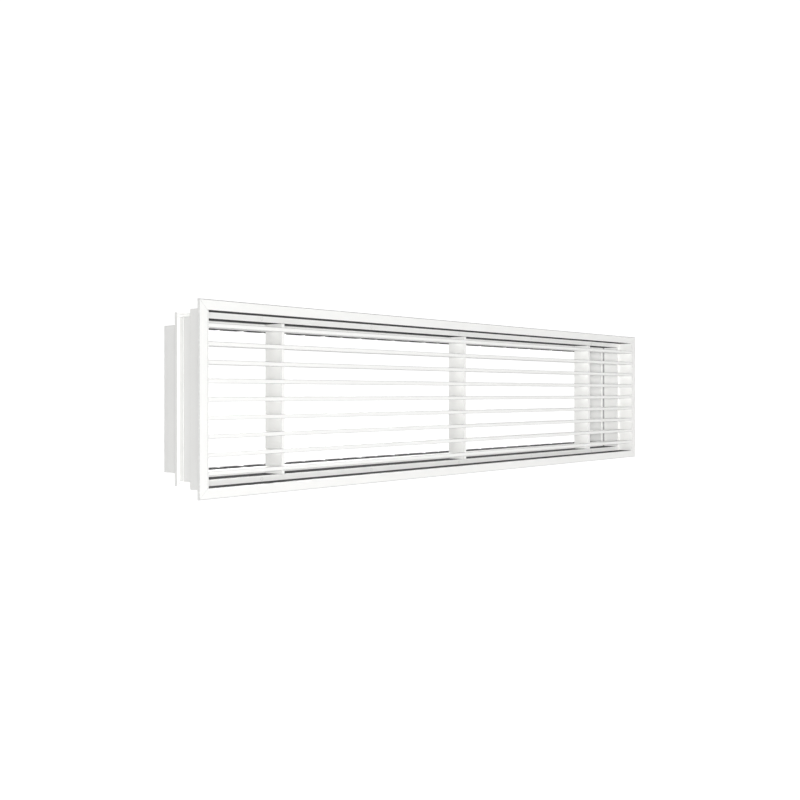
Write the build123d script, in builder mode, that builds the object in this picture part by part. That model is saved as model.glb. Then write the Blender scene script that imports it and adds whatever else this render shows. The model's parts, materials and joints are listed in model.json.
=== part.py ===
"""Linear bar air grille with a removable bar core, on a wall sleeve with a recessed neck.

Frame: +X along the grille, to the right as seen from the room; +Y into the wall; +Z up.
The origin is the centre of the wall opening, in the plane of the wall's face, where the
border flange's rear face rests. Millimetres throughout.

Cross-sections are drawn as (inset, depth) points: inset is the distance inward from the
flange's outer edge, the same on all four sides, and depth is the distance behind the
flange's front face.
"""
import os

from build123d import *

os.makedirs("parts", exist_ok=True)

# Overall size
NOMINAL_W = 1000.0  # nominal opening width
NOMINAL_H = 200.0  # nominal opening height
FLANGE_OVERHANG = 12.0  # flange beyond the nominal opening, each side
HALF_W = NOMINAL_W / 2 + FLANGE_OVERHANG
HALF_H = NOMINAL_H / 2 + FLANGE_OVERHANG

# Border profile: flange, collar wall and inward ledge, one extrusion
FLANGE_T = 3.0
FLANGE_W = 11.7
FLANGE_CHAMFER = 0.8
COLLAR_OUT = 9.6  # inset of the collar's outer face
COLLAR_IN = 11.0  # inset of its inner face
LEDGE_FRONT = 27.0
LEDGE_T = 1.4
LEDGE_REAR = LEDGE_FRONT + LEDGE_T
LEDGE_IN = 18.8
GROOVE_OUT = 1.8  # groove behind the flange, for the foam seal and corner cleats
GROOVE_IN = 8.2
GROOVE_DEPTH = 1.4
CLEAT_LEG = 40.0

# Neck behind the ledge, folded sheet
NECK_FLANGE_OUT = 11.2
NECK_OUT = 17.2
NECK_IN = 18.2
NECK_SHEET = 1.2
BEAD_FRONT = 50.2
BEAD_W = 1.2
BEAD_PROUD = 0.6

# Coupling frame and rear sleeve
COUPLING_OUT = 11.9
COUPLING_LIP_T = 2.0
COUPLING_FRONT = 55.6
WEB_FRONT = 58.3
WEB_REAR = 59.8
SLEEVE_FLANGE_OUT = 13.4
SLEEVE_OUT = 25.0
SLEEVE_IN = 26.0
SLEEVE_SHEET = 1.0
SLEEVE_REAR = 97.7

# Keying notches in the sleeve's rear edge, top and bottom
NOTCH_PITCH = 37.0
NOTCH_WIDE = 12.0
NOTCH_NARROW = 8.0
NOTCH_DEPTH = 16.0
NOTCHES_EACH_SIDE = 12  # each way from the middle one
CUT_MARGIN = 1.0  # how far a cut runs past a face

# Black linings inside the long walls, and the grey seal behind the neck
LINING_T = 0.6
SEAL_FRONT = 55.3
SEAL_T = 1.0

# Removable core: bars, tie plates and end plates
BAR_COUNT = 9
BAR_PITCH = 20.8
BAR_H = 5.1
BAR_D = 17.0
BAR_FRONT = 0.0
BAR_EDGE_R = 0.7
TIE_T = 5.0
TIE_D = 28.8
TIE_H = 181.0
TIE_EDGE_R = 0.8
TIE_X = {"left": -386.0, "middle": -21.0, "right": 341.0}
END_PLATE_T = 1.5
END_PLATE_CLEAR = 0.4  # each way, in the flange opening
END_PLATE_FRONT = 0.3
END_PLATE_REAR = 26.8
CORE_END = HALF_W - FLANGE_W - END_PLATE_CLEAR  # outer face of an end plate
BAR_END = CORE_END - END_PLATE_T
CORE_SPRING_T = 0.3
CORE_SPRING_W = 12.0
CORE_SPRING_L = 60.0
CORE_SPRING_Z = 52.0
CORE_SPRING_DEPTH = 19.0

# Concealed snap-in clips on the collar's long walls
CLIP_X = 350.0
CLIP_STEEL = 0.8
CLIP_BASE_W = 30.0
CLIP_ARM_W = 14.0
CLIP_FRONT = 4.6
CLIP_FOLD_DEPTH = 25.0
CLIP_FOLD_R = 1.5
CLIP_ARM_L = 18.5
CLIP_ARM_ANGLE = 13.0
CLIP_TIP_L = 3.0
CLIP_TIP_ANGLE = 38.0
CLIP_ROOT_GAP = 0.2
CLIP_RIVET_DX = 11.0
CLIP_RIVET_DEPTH = 15.0

# Fasteners
RIVET_R = 1.2
RIVET_HEAD_R = 2.2
RIVET_HEAD_H = 0.8
RIVET_TAIL_R = 2.0
LEDGE_RIVET_INSET = 14.8
LEDGE_RIVET_PITCH = 198.0
SLEEVE_RIVET_INSET = 15.7
SLEEVE_RIVET_PITCH = 160.0
SLEEVE_END_RIVET_Z = 60.0
CLEAT_RIVET_R = 1.0
CLEAT_RIVET_HEAD_R = 1.9
CLEAT_RIVET_DEPTH = 54.6
JOINING_CLEAT_X = (-400.0, 0.0, 400.0)
JOINING_CLEAT_W = 16.0
JOINING_CLEAT_T = 1.0
JOINING_FOOT_OUT = 14.0
END_SCREW_R = 1.5
END_SCREW_HEAD_R = 2.4
END_SCREW_HEAD_H = 1.2
END_SCREW_L = 12.0
END_SCREW_SOCKET = 0.8
SLEEVE_HOLE_R = 2.25
SLEEVE_HOLE_X = 330.0
SLEEVE_HOLE_DEPTH = 71.0

SIDES = {
    "top": (Vector(0, 0, -1), HALF_H, HALF_W),
    "bottom": (Vector(0, 0, 1), HALF_H, HALF_W),
    "left": (Vector(1, 0, 0), HALF_W, HALF_H),
    "right": (Vector(-1, 0, 0), HALF_W, HALF_H),
}
LONG_SIDES = ("top", "bottom")
BAR_Z = [BAR_PITCH * (i - (BAR_COUNT - 1) / 2) for i in range(BAR_COUNT - 1, -1, -1)]
BAR_MID_DEPTH = BAR_FRONT + BAR_D / 2

FRAME_OUTLINE = [
    (FLANGE_CHAMFER, 0),
    (FLANGE_W, 0),
    (FLANGE_W, FLANGE_T),
    (COLLAR_IN, FLANGE_T),
    (COLLAR_IN, LEDGE_FRONT),
    (LEDGE_IN, LEDGE_FRONT),
    (LEDGE_IN, LEDGE_REAR),
    (COLLAR_OUT, LEDGE_REAR),
    (COLLAR_OUT, FLANGE_T),
    (GROOVE_IN, FLANGE_T),
    (GROOVE_IN, FLANGE_T - GROOVE_DEPTH),
    (GROOVE_OUT, FLANGE_T - GROOVE_DEPTH),
    (GROOVE_OUT, FLANGE_T),
    (0, FLANGE_T),
    (0, FLANGE_CHAMFER),
]
NECK_OUTLINE = [
    (NECK_FLANGE_OUT, LEDGE_REAR),
    (NECK_IN, LEDGE_REAR),
    (NECK_IN, WEB_FRONT),
    (NECK_OUT, WEB_FRONT),
    (NECK_OUT, BEAD_FRONT + BEAD_W),
    (NECK_OUT - BEAD_PROUD, BEAD_FRONT + BEAD_W),
    (NECK_OUT - BEAD_PROUD, BEAD_FRONT),
    (NECK_OUT, BEAD_FRONT),
    (NECK_OUT, LEDGE_REAR + NECK_SHEET),
    (NECK_FLANGE_OUT, LEDGE_REAR + NECK_SHEET),
]
COUPLING_OUTLINE = [
    (COUPLING_OUT, COUPLING_FRONT),
    (COUPLING_OUT + COUPLING_LIP_T, COUPLING_FRONT),
    (COUPLING_OUT + COUPLING_LIP_T, WEB_FRONT),
    (SLEEVE_IN, WEB_FRONT),
    (SLEEVE_IN, WEB_REAR),
    (COUPLING_OUT, WEB_REAR),
]
SLEEVE_OUTLINE = [
    (SLEEVE_FLANGE_OUT, WEB_REAR),
    (SLEEVE_IN, WEB_REAR),
    (SLEEVE_IN, SLEEVE_REAR),
    (SLEEVE_OUT, SLEEVE_REAR),
    (SLEEVE_OUT, WEB_REAR + SLEEVE_SHEET),
    (SLEEVE_FLANGE_OUT, WEB_REAR + SLEEVE_SHEET),
]


def side_plane(side, along=0.0):
    """Section plane of one side: local x is the inset, local y the depth.

    It stands at `along`, measured along +X on the long sides and +Z on the short ones.
    """
    inward, offset, _ = SIDES[side]
    run = inward.cross(Vector(0, 1, 0))
    shift = Vector(abs(run.X), 0, abs(run.Z)) * along
    origin = inward * -offset + Vector(0, -FLANGE_T, 0) + shift
    return Plane(origin=origin, x_dir=inward, z_dir=run)


def save(piece, name):
    """Label a finished piece and write its STEP file."""
    piece.part.label = name
    export_step(piece.part, f"parts/{name}.step")
    print(f"{name:24s} {len(piece.part.solids()):3d} solids {piece.part.volume:10.0f} mm3")


def block(inset, depth):
    """Corner points of a rectangle from (inset, depth) ranges."""
    return [
        (inset[0], depth[0]),
        (inset[1], depth[0]),
        (inset[1], depth[1]),
        (inset[0], depth[1]),
    ]


def mitred(outline, side):
    """An outline run along one side of the frame, mitred at both corners."""
    plane = side_plane(side)
    half_run = SIDES[side][2]
    with BuildPart() as profile:
        with BuildSketch(plane):
            with BuildLine():
                Polyline(*outline, close=True)
            make_face()
        extrude(amount=half_run, both=True)
        for end in (-1, 1):
            corner = plane.origin + plane.z_dir * (end * half_run)
            mitre = Plane(origin=corner, z_dir=plane.z_dir * end + plane.x_dir)
            split(bisect_by=mitre, keep=Keep.BOTTOM)
    return profile.part


def stretch(outline, side, centre, length):
    """An outline run along one side for a given length, with square ends."""
    with BuildPart() as profile:
        with BuildSketch(side_plane(side, centre)):
            with BuildLine():
                Polyline(*outline, close=True)
            make_face()
        extrude(amount=length / 2, both=True)
    return profile.part


def drill(side, along, depth, radius, inset, mode=Mode.SUBTRACT):
    """A round hole or shank across one side's wall, through a range of insets."""
    plane = side_plane(side, along)
    start = plane.from_local_coords(Vector(inset[0], depth, 0))
    with BuildSketch(Plane(origin=start, z_dir=plane.x_dir)) as ring:
        Circle(radius)
    extrude(ring.sketch, amount=inset[1] - inset[0], mode=mode)


def drill_deep(side, along, inset, radius, depth, mode=Mode.SUBTRACT):
    """A round hole or shank along +Y, through a range of depths."""
    plane = side_plane(side, along)
    start = plane.from_local_coords(Vector(inset, depth[0], 0))
    with BuildSketch(Plane(origin=start, z_dir=(0, 1, 0))) as ring:
        Circle(radius)
    extrude(ring.sketch, amount=depth[1] - depth[0], mode=mode)


def countersunk(side, along, mode):
    """A countersunk rivet through the ledge and the neck's flange, or its hole."""
    plane = side_plane(side, along)
    face = plane.from_local_coords(Vector(LEDGE_RIVET_INSET, LEDGE_FRONT, 0))
    with BuildSketch(Plane(origin=face, z_dir=(0, 1, 0))) as head:
        Circle(RIVET_HEAD_R)
    extrude(head.sketch, amount=RIVET_HEAD_R - RIVET_R, taper=45, mode=mode)
    drill_deep(side, along, LEDGE_RIVET_INSET, RIVET_R, (LEDGE_FRONT, LEDGE_REAR + NECK_SHEET), mode)


def ledge_rivet_places():
    """Side and run position of each ledge rivet."""
    places = [(side, LEDGE_RIVET_PITCH * i) for side in LONG_SIDES for i in range(-2, 3)]
    return places + [("left", 0.0), ("right", 0.0)]


def sleeve_rivet_places():
    """Side and run position of each rivet through the web and the sleeve's flange."""
    places = [(side, SLEEVE_RIVET_PITCH * (i - 2.5)) for side in LONG_SIDES for i in range(6)]
    ends = [(side, sign * SLEEVE_END_RIVET_Z) for side in ("left", "right") for sign in (-1, 1)]
    return places + ends


def clip_rivet_places():
    """Side and run position of each clip rivet."""
    return [
        (side, x + dx)
        for side in LONG_SIDES
        for x in (-CLIP_X, CLIP_X)
        for dx in (-CLIP_RIVET_DX, CLIP_RIVET_DX)
    ]


def cut_notches(side, inset):
    """Keying notches from the rear edge, alternately wide and narrow."""
    for i in range(-NOTCHES_EACH_SIDE, NOTCHES_EACH_SIDE + 1):
        width = NOTCH_WIDE if i % 2 == 0 else NOTCH_NARROW
        outline = block(inset, (SLEEVE_REAR - NOTCH_DEPTH, SLEEVE_REAR + CUT_MARGIN))
        add(stretch(outline, side, NOTCH_PITCH * i, width), mode=Mode.SUBTRACT)


def end_screw(end, z, mode):
    """A countersunk screw through an end plate into a bar's end, or its hole."""
    y = BAR_MID_DEPTH - FLANGE_T
    with BuildSketch(Plane(origin=(end * CORE_END, y, z), z_dir=(-end, 0, 0))) as head:
        Circle(END_SCREW_HEAD_R)
    extrude(head.sketch, amount=END_SCREW_HEAD_R - END_SCREW_R, taper=45, mode=mode)
    with BuildSketch(Plane(origin=(end * CORE_END, y, z), z_dir=(-end, 0, 0))) as shank:
        Circle(END_SCREW_R)
    extrude(shank.sketch, amount=END_SCREW_L, mode=mode)


# ---------------------------------------------------------------- border frame
for side in SIDES:
    with BuildPart() as frame_side:
        add(mitred(FRAME_OUTLINE, side))
        for rivet_side, along in ledge_rivet_places():
            if rivet_side == side:
                countersunk(side, along, Mode.SUBTRACT)
        for rivet_side, along in clip_rivet_places():
            if rivet_side == side:
                drill(side, along, CLIP_RIVET_DEPTH, RIVET_R, (COLLAR_OUT, COLLAR_IN))
    save(frame_side, f"frame_{side}")

with BuildPart() as corner_cleats:
    for sx in (-1, 1):
        for sz in (-1, 1):
            with BuildSketch(Plane.XZ):
                with BuildLine():
                    corner = [
                        (GROOVE_OUT, GROOVE_OUT),
                        (CLEAT_LEG, GROOVE_OUT),
                        (CLEAT_LEG, GROOVE_IN),
                        (GROOVE_IN, GROOVE_IN),
                        (GROOVE_IN, CLEAT_LEG),
                        (GROOVE_OUT, CLEAT_LEG),
                    ]
                    Polyline(*[(sx * (HALF_W - a), sz * (HALF_H - b)) for a, b in corner], close=True)
                make_face()
            extrude(amount=GROOVE_DEPTH)
save(corner_cleats, "corner_cleats")

with BuildPart() as flange_seal:
    for side, (_, _, half_run) in SIDES.items():
        outline = block((GROOVE_OUT, GROOVE_IN), (FLANGE_T - GROOVE_DEPTH, FLANGE_T))
        add(stretch(outline, side, 0.0, 2 * (half_run - CLEAT_LEG)))
save(flange_seal, "flange_seal")

# ---------------------------------------------------------------- neck
for side in SIDES:
    with BuildPart() as neck_side:
        add(mitred(NECK_OUTLINE, side))
        for rivet_side, along in ledge_rivet_places():
            if rivet_side == side:
                drill_deep(side, along, LEDGE_RIVET_INSET, RIVET_R, (LEDGE_REAR, LEDGE_REAR + NECK_SHEET))
        if side in LONG_SIDES:
            for x in JOINING_CLEAT_X:
                drill(side, x, CLEAT_RIVET_DEPTH, CLEAT_RIVET_R, (NECK_OUT, NECK_IN))
    save(neck_side, f"neck_{side}")

with BuildPart() as ledge_rivets:
    for side, along in ledge_rivet_places():
        countersunk(side, along, Mode.ADD)
        tail = (LEDGE_REAR + NECK_SHEET, LEDGE_REAR + NECK_SHEET + RIVET_HEAD_H)
        drill_deep(side, along, LEDGE_RIVET_INSET, RIVET_TAIL_R, tail, Mode.ADD)
save(ledge_rivets, "ledge_rivets")

for side in SIDES:
    with BuildPart() as neck_seal:
        add(mitred(block((NECK_IN, NECK_IN + SEAL_T), (SEAL_FRONT, WEB_FRONT)), side))
    save(neck_seal, f"neck_seal_{side}")

# ---------------------------------------------------------------- coupling frame and sleeve
for side in SIDES:
    with BuildPart() as coupling_side:
        add(mitred(COUPLING_OUTLINE, side))
        for rivet_side, along in sleeve_rivet_places():
            if rivet_side == side:
                drill_deep(side, along, SLEEVE_RIVET_INSET, RIVET_R, (WEB_FRONT, WEB_REAR))
    save(coupling_side, f"coupling_{side}")

for side in SIDES:
    with BuildPart() as sleeve_side:
        add(mitred(SLEEVE_OUTLINE, side))
        for rivet_side, along in sleeve_rivet_places():
            if rivet_side == side:
                drill_deep(side, along, SLEEVE_RIVET_INSET, RIVET_R, (WEB_REAR, WEB_REAR + SLEEVE_SHEET))
        if side in LONG_SIDES:
            cut_notches(side, (SLEEVE_OUT - CUT_MARGIN, SLEEVE_IN + CUT_MARGIN))
            for x in (-SLEEVE_HOLE_X, SLEEVE_HOLE_X):
                drill(side, x, SLEEVE_HOLE_DEPTH, SLEEVE_HOLE_R, (SLEEVE_OUT, SLEEVE_IN))
    save(sleeve_side, f"sleeve_{side}")

with BuildPart() as sleeve_rivets:
    for side, along in sleeve_rivet_places():
        rear = WEB_REAR + SLEEVE_SHEET
        drill_deep(side, along, SLEEVE_RIVET_INSET, RIVET_R, (WEB_FRONT, rear), Mode.ADD)
        drill_deep(side, along, SLEEVE_RIVET_INSET, RIVET_HEAD_R, (rear, rear + RIVET_HEAD_H), Mode.ADD)
save(sleeve_rivets, "sleeve_rivets")

with BuildPart() as joining_cleats:
    for side in LONG_SIDES:
        for x in JOINING_CLEAT_X:
            angle = [
                (NECK_OUT - JOINING_CLEAT_T, BEAD_FRONT + BEAD_W),
                (NECK_OUT, BEAD_FRONT + BEAD_W),
                (NECK_OUT, WEB_FRONT),
                (JOINING_FOOT_OUT, WEB_FRONT),
                (JOINING_FOOT_OUT, WEB_FRONT - JOINING_CLEAT_T),
                (NECK_OUT - JOINING_CLEAT_T, WEB_FRONT - JOINING_CLEAT_T),
            ]
            add(stretch(angle, side, x, JOINING_CLEAT_W))
            leg = (NECK_OUT - JOINING_CLEAT_T, NECK_OUT)
            drill(side, x, CLEAT_RIVET_DEPTH, CLEAT_RIVET_R, leg)
save(joining_cleats, "joining_cleats")

with BuildPart() as cleat_rivets:
    for side in LONG_SIDES:
        for x in JOINING_CLEAT_X:
            outer = NECK_OUT - JOINING_CLEAT_T
            drill(side, x, CLEAT_RIVET_DEPTH, CLEAT_RIVET_R, (outer, NECK_IN), Mode.ADD)
            drill(side, x, CLEAT_RIVET_DEPTH, CLEAT_RIVET_HEAD_R, (outer - RIVET_HEAD_H, outer), Mode.ADD)
save(cleat_rivets, "cleat_rivets")

# ---------------------------------------------------------------- black linings
for side in LONG_SIDES:
    with BuildPart() as collar_lining:
        outline = block((COLLAR_IN, FLANGE_W), (FLANGE_T, LEDGE_FRONT))
        add(stretch(outline, side, 0.0, 2 * (HALF_W - COLLAR_IN)))
    save(collar_lining, f"collar_lining_{side}")

    with BuildPart() as neck_lining:
        outline = block((NECK_IN, NECK_IN + LINING_T), (LEDGE_REAR, SEAL_FRONT))
        add(stretch(outline, side, 0.0, 2 * (HALF_W - NECK_IN)))
    save(neck_lining, f"neck_lining_{side}")

    with BuildPart() as sleeve_lining:
        outline = block((SLEEVE_IN, SLEEVE_IN + LINING_T), (WEB_FRONT, SLEEVE_REAR))
        add(stretch(outline, side, 0.0, 2 * (HALF_W - SLEEVE_IN)))
        cut_notches(side, (SLEEVE_IN - CUT_MARGIN, SLEEVE_IN + LINING_T + CUT_MARGIN))
        for x in (-SLEEVE_HOLE_X, SLEEVE_HOLE_X):
            drill(side, x, SLEEVE_HOLE_DEPTH, SLEEVE_HOLE_R, (SLEEVE_IN, SLEEVE_IN + LINING_T))
    save(sleeve_lining, f"sleeve_lining_{side}")

# ---------------------------------------------------------------- removable core
for number, z in enumerate(BAR_Z, start=1):
    with BuildPart() as bar:
        with BuildSketch(Plane.YZ):
            with Locations((BAR_MID_DEPTH - FLANGE_T, z)):
                RectangleRounded(BAR_D, BAR_H, BAR_EDGE_R)
        extrude(amount=BAR_END, both=True)
        for end in (-1, 1):
            end_screw(end, z, Mode.SUBTRACT)
    save(bar, f"bar_{number}")

for place, x in TIE_X.items():
    with BuildPart() as tie_plate:
        with BuildSketch(Plane.YZ.offset(x)):
            with Locations((TIE_D / 2 - FLANGE_T, 0)):
                RectangleRounded(TIE_D, TIE_H, TIE_EDGE_R)
            with Locations(*[(BAR_MID_DEPTH - FLANGE_T, z) for z in BAR_Z]):
                Rectangle(BAR_D, BAR_H, mode=Mode.SUBTRACT)
        extrude(amount=TIE_T / 2, both=True)
    save(tie_plate, f"tie_plate_{place}")

for place, end in (("left", -1), ("right", 1)):
    with BuildPart() as end_plate:
        half_height = HALF_H - FLANGE_W - END_PLATE_CLEAR
        mid_y = (END_PLATE_FRONT + END_PLATE_REAR) / 2 - FLANGE_T
        with BuildSketch(Plane(origin=(end * CORE_END, mid_y, 0), x_dir=(0, 1, 0), z_dir=(end, 0, 0))):
            RectangleRounded(END_PLATE_REAR - END_PLATE_FRONT, 2 * half_height, TIE_EDGE_R)
        extrude(amount=-END_PLATE_T)
        for z in BAR_Z:
            end_screw(end, z, Mode.SUBTRACT)
    save(end_plate, f"core_end_plate_{place}")

with BuildPart() as end_screws:
    for end in (-1, 1):
        for z in BAR_Z:
            end_screw(end, z, Mode.ADD)
            y = BAR_MID_DEPTH - FLANGE_T
            with BuildSketch(Plane(origin=(end * CORE_END, y, z), z_dir=(-end, 0, 0))) as socket:
                RegularPolygon(END_SCREW_SOCKET, 6)
            extrude(socket.sketch, amount=END_SCREW_HEAD_H, mode=Mode.SUBTRACT)
save(end_screws, "end_screws")

with BuildPart() as core_springs:
    for end in (-1, 1):
        for z in (-CORE_SPRING_Z, CORE_SPRING_Z):
            with Locations((end * (CORE_END + CORE_SPRING_T / 2), CORE_SPRING_DEPTH - FLANGE_T, z)):
                Box(CORE_SPRING_T, CORE_SPRING_W, CORE_SPRING_L)
save(core_springs, "core_springs")

# ---------------------------------------------------------------- snap-in clips
CLIP_FOLD_INSET = COLLAR_OUT - CLIP_FOLD_R  # centre of the fold
with BuildPart() as clip_bases:
    for side in LONG_SIDES:
        for x in (-CLIP_X, CLIP_X):
            leaf = block((COLLAR_OUT - CLIP_STEEL, COLLAR_OUT), (CLIP_FRONT, CLIP_FOLD_DEPTH))
            add(stretch(leaf, side, x, CLIP_BASE_W))
            with BuildSketch(side_plane(side, x)) as fold:
                with Locations((CLIP_FOLD_INSET, CLIP_FOLD_DEPTH)):
                    Circle(CLIP_FOLD_R)
                    Circle(CLIP_FOLD_R - CLIP_STEEL, mode=Mode.SUBTRACT)
                with Locations((CLIP_FOLD_INSET, CLIP_FOLD_DEPTH - CLIP_FOLD_R)):
                    Rectangle(4 * CLIP_FOLD_R, 2 * CLIP_FOLD_R, mode=Mode.SUBTRACT)
            extrude(fold.sketch, amount=CLIP_ARM_W / 2, both=True)
    for side, along in clip_rivet_places():
        leaf = (COLLAR_OUT - CLIP_STEEL, COLLAR_OUT)
        drill(side, along, CLIP_RIVET_DEPTH, RIVET_R, leaf)
save(clip_bases, "clip_bases")

with BuildPart() as clip_rivets:
    for side, along in clip_rivet_places():
        face = COLLAR_OUT - CLIP_STEEL
        drill(side, along, CLIP_RIVET_DEPTH, RIVET_R, (face, COLLAR_IN), Mode.ADD)
        drill(side, along, CLIP_RIVET_DEPTH, RIVET_HEAD_R, (face - RIVET_HEAD_H, face), Mode.ADD)
save(clip_rivets, "clip_rivets")

for side in LONG_SIDES:
    for place, x in (("left", -CLIP_X), ("right", CLIP_X)):
        with BuildPart() as clip_arm:
            with BuildSketch(side_plane(side, x)):
                with BuildLine():
                    root_depth = CLIP_FOLD_DEPTH - CLIP_ROOT_GAP - CLIP_STEEL / 2
                    root = (CLIP_FOLD_INSET - CLIP_FOLD_R + CLIP_STEEL / 2, root_depth)
                    arm = PolarLine(root, CLIP_ARM_L, 270 - CLIP_ARM_ANGLE)
                    PolarLine(arm @ 1, CLIP_TIP_L, 270 + CLIP_TIP_ANGLE)
                    offset(amount=CLIP_STEEL / 2, kind=Kind.INTERSECTION)
                make_face()
            extrude(amount=CLIP_ARM_W / 2, both=True)
        save(clip_arm, f"clip_arm_{side}_{place}")
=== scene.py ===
"""Finishes, small parts and studio for a linear bar air grille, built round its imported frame.

Metres throughout, in the frame's own axes: +X along the grille, to the right as seen from
the room; +Y into the wall; +Z up. The wall's face is the plane y = 0. A place on one of the
four sides is given by its inset, the distance inward from the flange's outer edge, and its
depth, the distance behind the flange's front face.
"""

import json
import math

import bmesh
import bpy
from mathutils import Matrix, Vector, noise


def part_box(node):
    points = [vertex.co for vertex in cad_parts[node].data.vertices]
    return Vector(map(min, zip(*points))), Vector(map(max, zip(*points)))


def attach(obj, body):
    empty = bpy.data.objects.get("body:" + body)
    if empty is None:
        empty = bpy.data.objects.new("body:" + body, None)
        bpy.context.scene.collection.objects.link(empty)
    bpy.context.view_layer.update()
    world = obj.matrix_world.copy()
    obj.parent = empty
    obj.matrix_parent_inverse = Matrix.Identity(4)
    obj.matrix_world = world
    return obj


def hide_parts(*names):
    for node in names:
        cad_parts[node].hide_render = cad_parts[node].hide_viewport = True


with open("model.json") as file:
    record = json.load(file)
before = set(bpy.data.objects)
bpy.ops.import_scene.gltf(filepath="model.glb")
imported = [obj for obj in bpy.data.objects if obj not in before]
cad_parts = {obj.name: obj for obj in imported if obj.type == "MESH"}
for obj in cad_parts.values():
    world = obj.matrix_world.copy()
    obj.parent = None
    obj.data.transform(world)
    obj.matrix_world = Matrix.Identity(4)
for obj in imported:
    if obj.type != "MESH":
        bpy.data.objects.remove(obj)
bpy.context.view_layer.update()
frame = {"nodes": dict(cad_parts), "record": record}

MM = 0.001
TINY = 1e-7
WELD = 2e-6  # points closer than this are one point

# Overall places, from the frame
BORDER_LOW, BORDER_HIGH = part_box("frame_top")
HALF_W = BORDER_HIGH.x
HALF_H = BORDER_HIGH.z
FACE_Y = BORDER_LOW.y
SIDES = {
    "top": (Vector((0, 0, -1)), HALF_H, Vector((1, 0, 0))),
    "bottom": (Vector((0, 0, 1)), HALF_H, Vector((1, 0, 0))),
    "left": (Vector((1, 0, 0)), HALF_W, Vector((0, 0, 1))),
    "right": (Vector((-1, 0, 0)), HALF_W, Vector((0, 0, 1))),
}
LONG_SIDES = ("top", "bottom")
ENDS = {"left": -1, "right": 1}

# Edge rounding
FLAT_ANGLE = math.radians(1)  # faces that meet flatter than this are one face
EXTRUSION_EDGE = 0.22 * MM
SHEET_EDGE = 0.12 * MM
CLIP_EDGE = 0.1 * MM
CLEAT_EDGE = 0.12 * MM
CORNER_CLEAT_EDGE = 0.18 * MM
LINING_EDGES = {"collar": 0.2 * MM, "neck": 0.18 * MM, "sleeve": 0.18 * MM}

# Rivets and screws: radii, heights and the screw's thread
SLEEVE_SHEET = 1.0 * MM
SLEEVE_SHANK = 1.2 * MM
CLEAT_SHANK = 1.0 * MM
CLIP_SHANK = 1.2 * MM
OUTWARD_HEAD_HEIGHT = 0.8 * MM
LEDGE_SHANK = 1.2 * MM
LEDGE_TAIL = 2.0 * MM
LEDGE_TAIL_HEIGHT = 0.8 * MM
SCREW_SHANK = 1.5 * MM
SCREW_PITCH = 0.7 * MM
SCREW_TURN = 0.61  # radians from one driven screw's cross to the next
CROSS_RECESS = (  # level, then arm reach and half width as shares of the head's radius
    (0.2 * MM, 0.66, 0.2),
    (-0.35 * MM, 0.58, 0.16),
    (-1.1 * MM, 0.2, 0.12),
)

# Core's leaf springs
SPRING_SHEET = 0.14 * MM
SPRING_CORNER = 3.0 * MM
SPRING_WAIST = 0.22
SPRING_STEPS = 48

# Snap-in clip, bent from one strip
CLIP_STEEL = 0.8 * MM
CLIP_CORNER = 2.5 * MM
FOLD_HALF_WIDTH = 7.0 * MM
FOLD_REACH = 1.5 * MM  # the strip is already narrow this far before the fold
FOLD_STEPS = 12
ARM_LENGTH = 19.2 * MM
ARM_LEAN = math.radians(13)
ARM_TAPER = 0.16
ARM_ROOT_GAP = CLIP_STEEL * 0.2
TIP_LENGTH = 2.2 * MM
TIP_TURN = math.radians(26)
TIP_BEND = 1.6 * MM
TIP_CORNER = 1.8 * MM

# Cleats
CLEAT_STEEL = 1.0 * MM
CLEAT_BEND = 1.0 * MM
CLEAT_CORNER = 1.5 * MM
STAKE_MIDDLE = 5.0 * MM
STAKE_LEGS = (14.0 * MM, 30.0 * MM)
STAKE_DENT = ((0, -0.7 * MM), (0.5 * MM, -0.6 * MM), (1.3 * MM, 0.25 * MM), (0, 0.25 * MM))

# Seals: section corner, station spacing, unevenness and the noise's starting places
NECK_FOAM_CORNER = 0.3 * MM
NECK_FOAM_STEP = 2.5 * MM
NECK_FOAM_RIPPLE = 0.05 * MM
FLANGE_FOAM_CORNER = 0.5 * MM
FLANGE_FOAM_STEP = 3.0 * MM
FLANGE_FOAM_RIPPLE = 0.08 * MM
FLANGE_GROOVE = (1.8 * MM, 8.2 * MM)
CORNER_CLEAT_LEG = 40.0 * MM
SEED_STEP = 3.7
FLANGE_FOAM_SEED = 20

# Camera and lights
EYE_LEFT = 0.7023  # beyond the flange's left edge
EYE_FRONT = 0.8933  # before the flange's face
EYE_HEIGHT = 0.0065
CAMERA_TURN = 49.47  # degrees from +Y towards +X
CAMERA_LENS = 45.26  # millimetres
CAMERA_SHIFT = -0.0081
FLOOR_LEVEL = -0.9
ROOM_AMBIENT = 0.05
ROOM_MIRRORED = 0.38
SEEN_WHITE = 1.1
LAMP_BACK = 0.05  # the lamp's distance behind the eye
LAMP_SIZE = 0.1
LAMP_POWER = 0.222
FILL_SPREAD = 12  # degrees
FILLS = (  # name, where it shines towards, strength
    ("front fill", (0, 1, 0), 1.15),
    ("side fill", (1, 0, 0), 0.42),
    ("back fill", (0, -1, 0), 0.8),
    ("top fill", (0, 0, -1), 0.8),
)
REAR_KEY_TOWARDS = (-0.55, -0.7, -0.45)
REAR_KEY_SPREAD = 25
REAR_KEY_STRENGTH = 2.2


# ---------------------------------------------------------------- mesh helpers
def on_side(side, inset, depth, along=0.0):
    """The point of one side at an inset, a depth and a distance along it."""
    inward, reach, run = SIDES[side]
    return inward * (inset - reach) + run * along + Vector((0, FACE_Y + depth, 0))


def across_side(side, centre_x):
    """A function from inset, depth and a distance across, along X, to a place."""

    def to_place(point, across):
        return on_side(side, point.x, point.y, centre_x + across)

    return to_place


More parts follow.
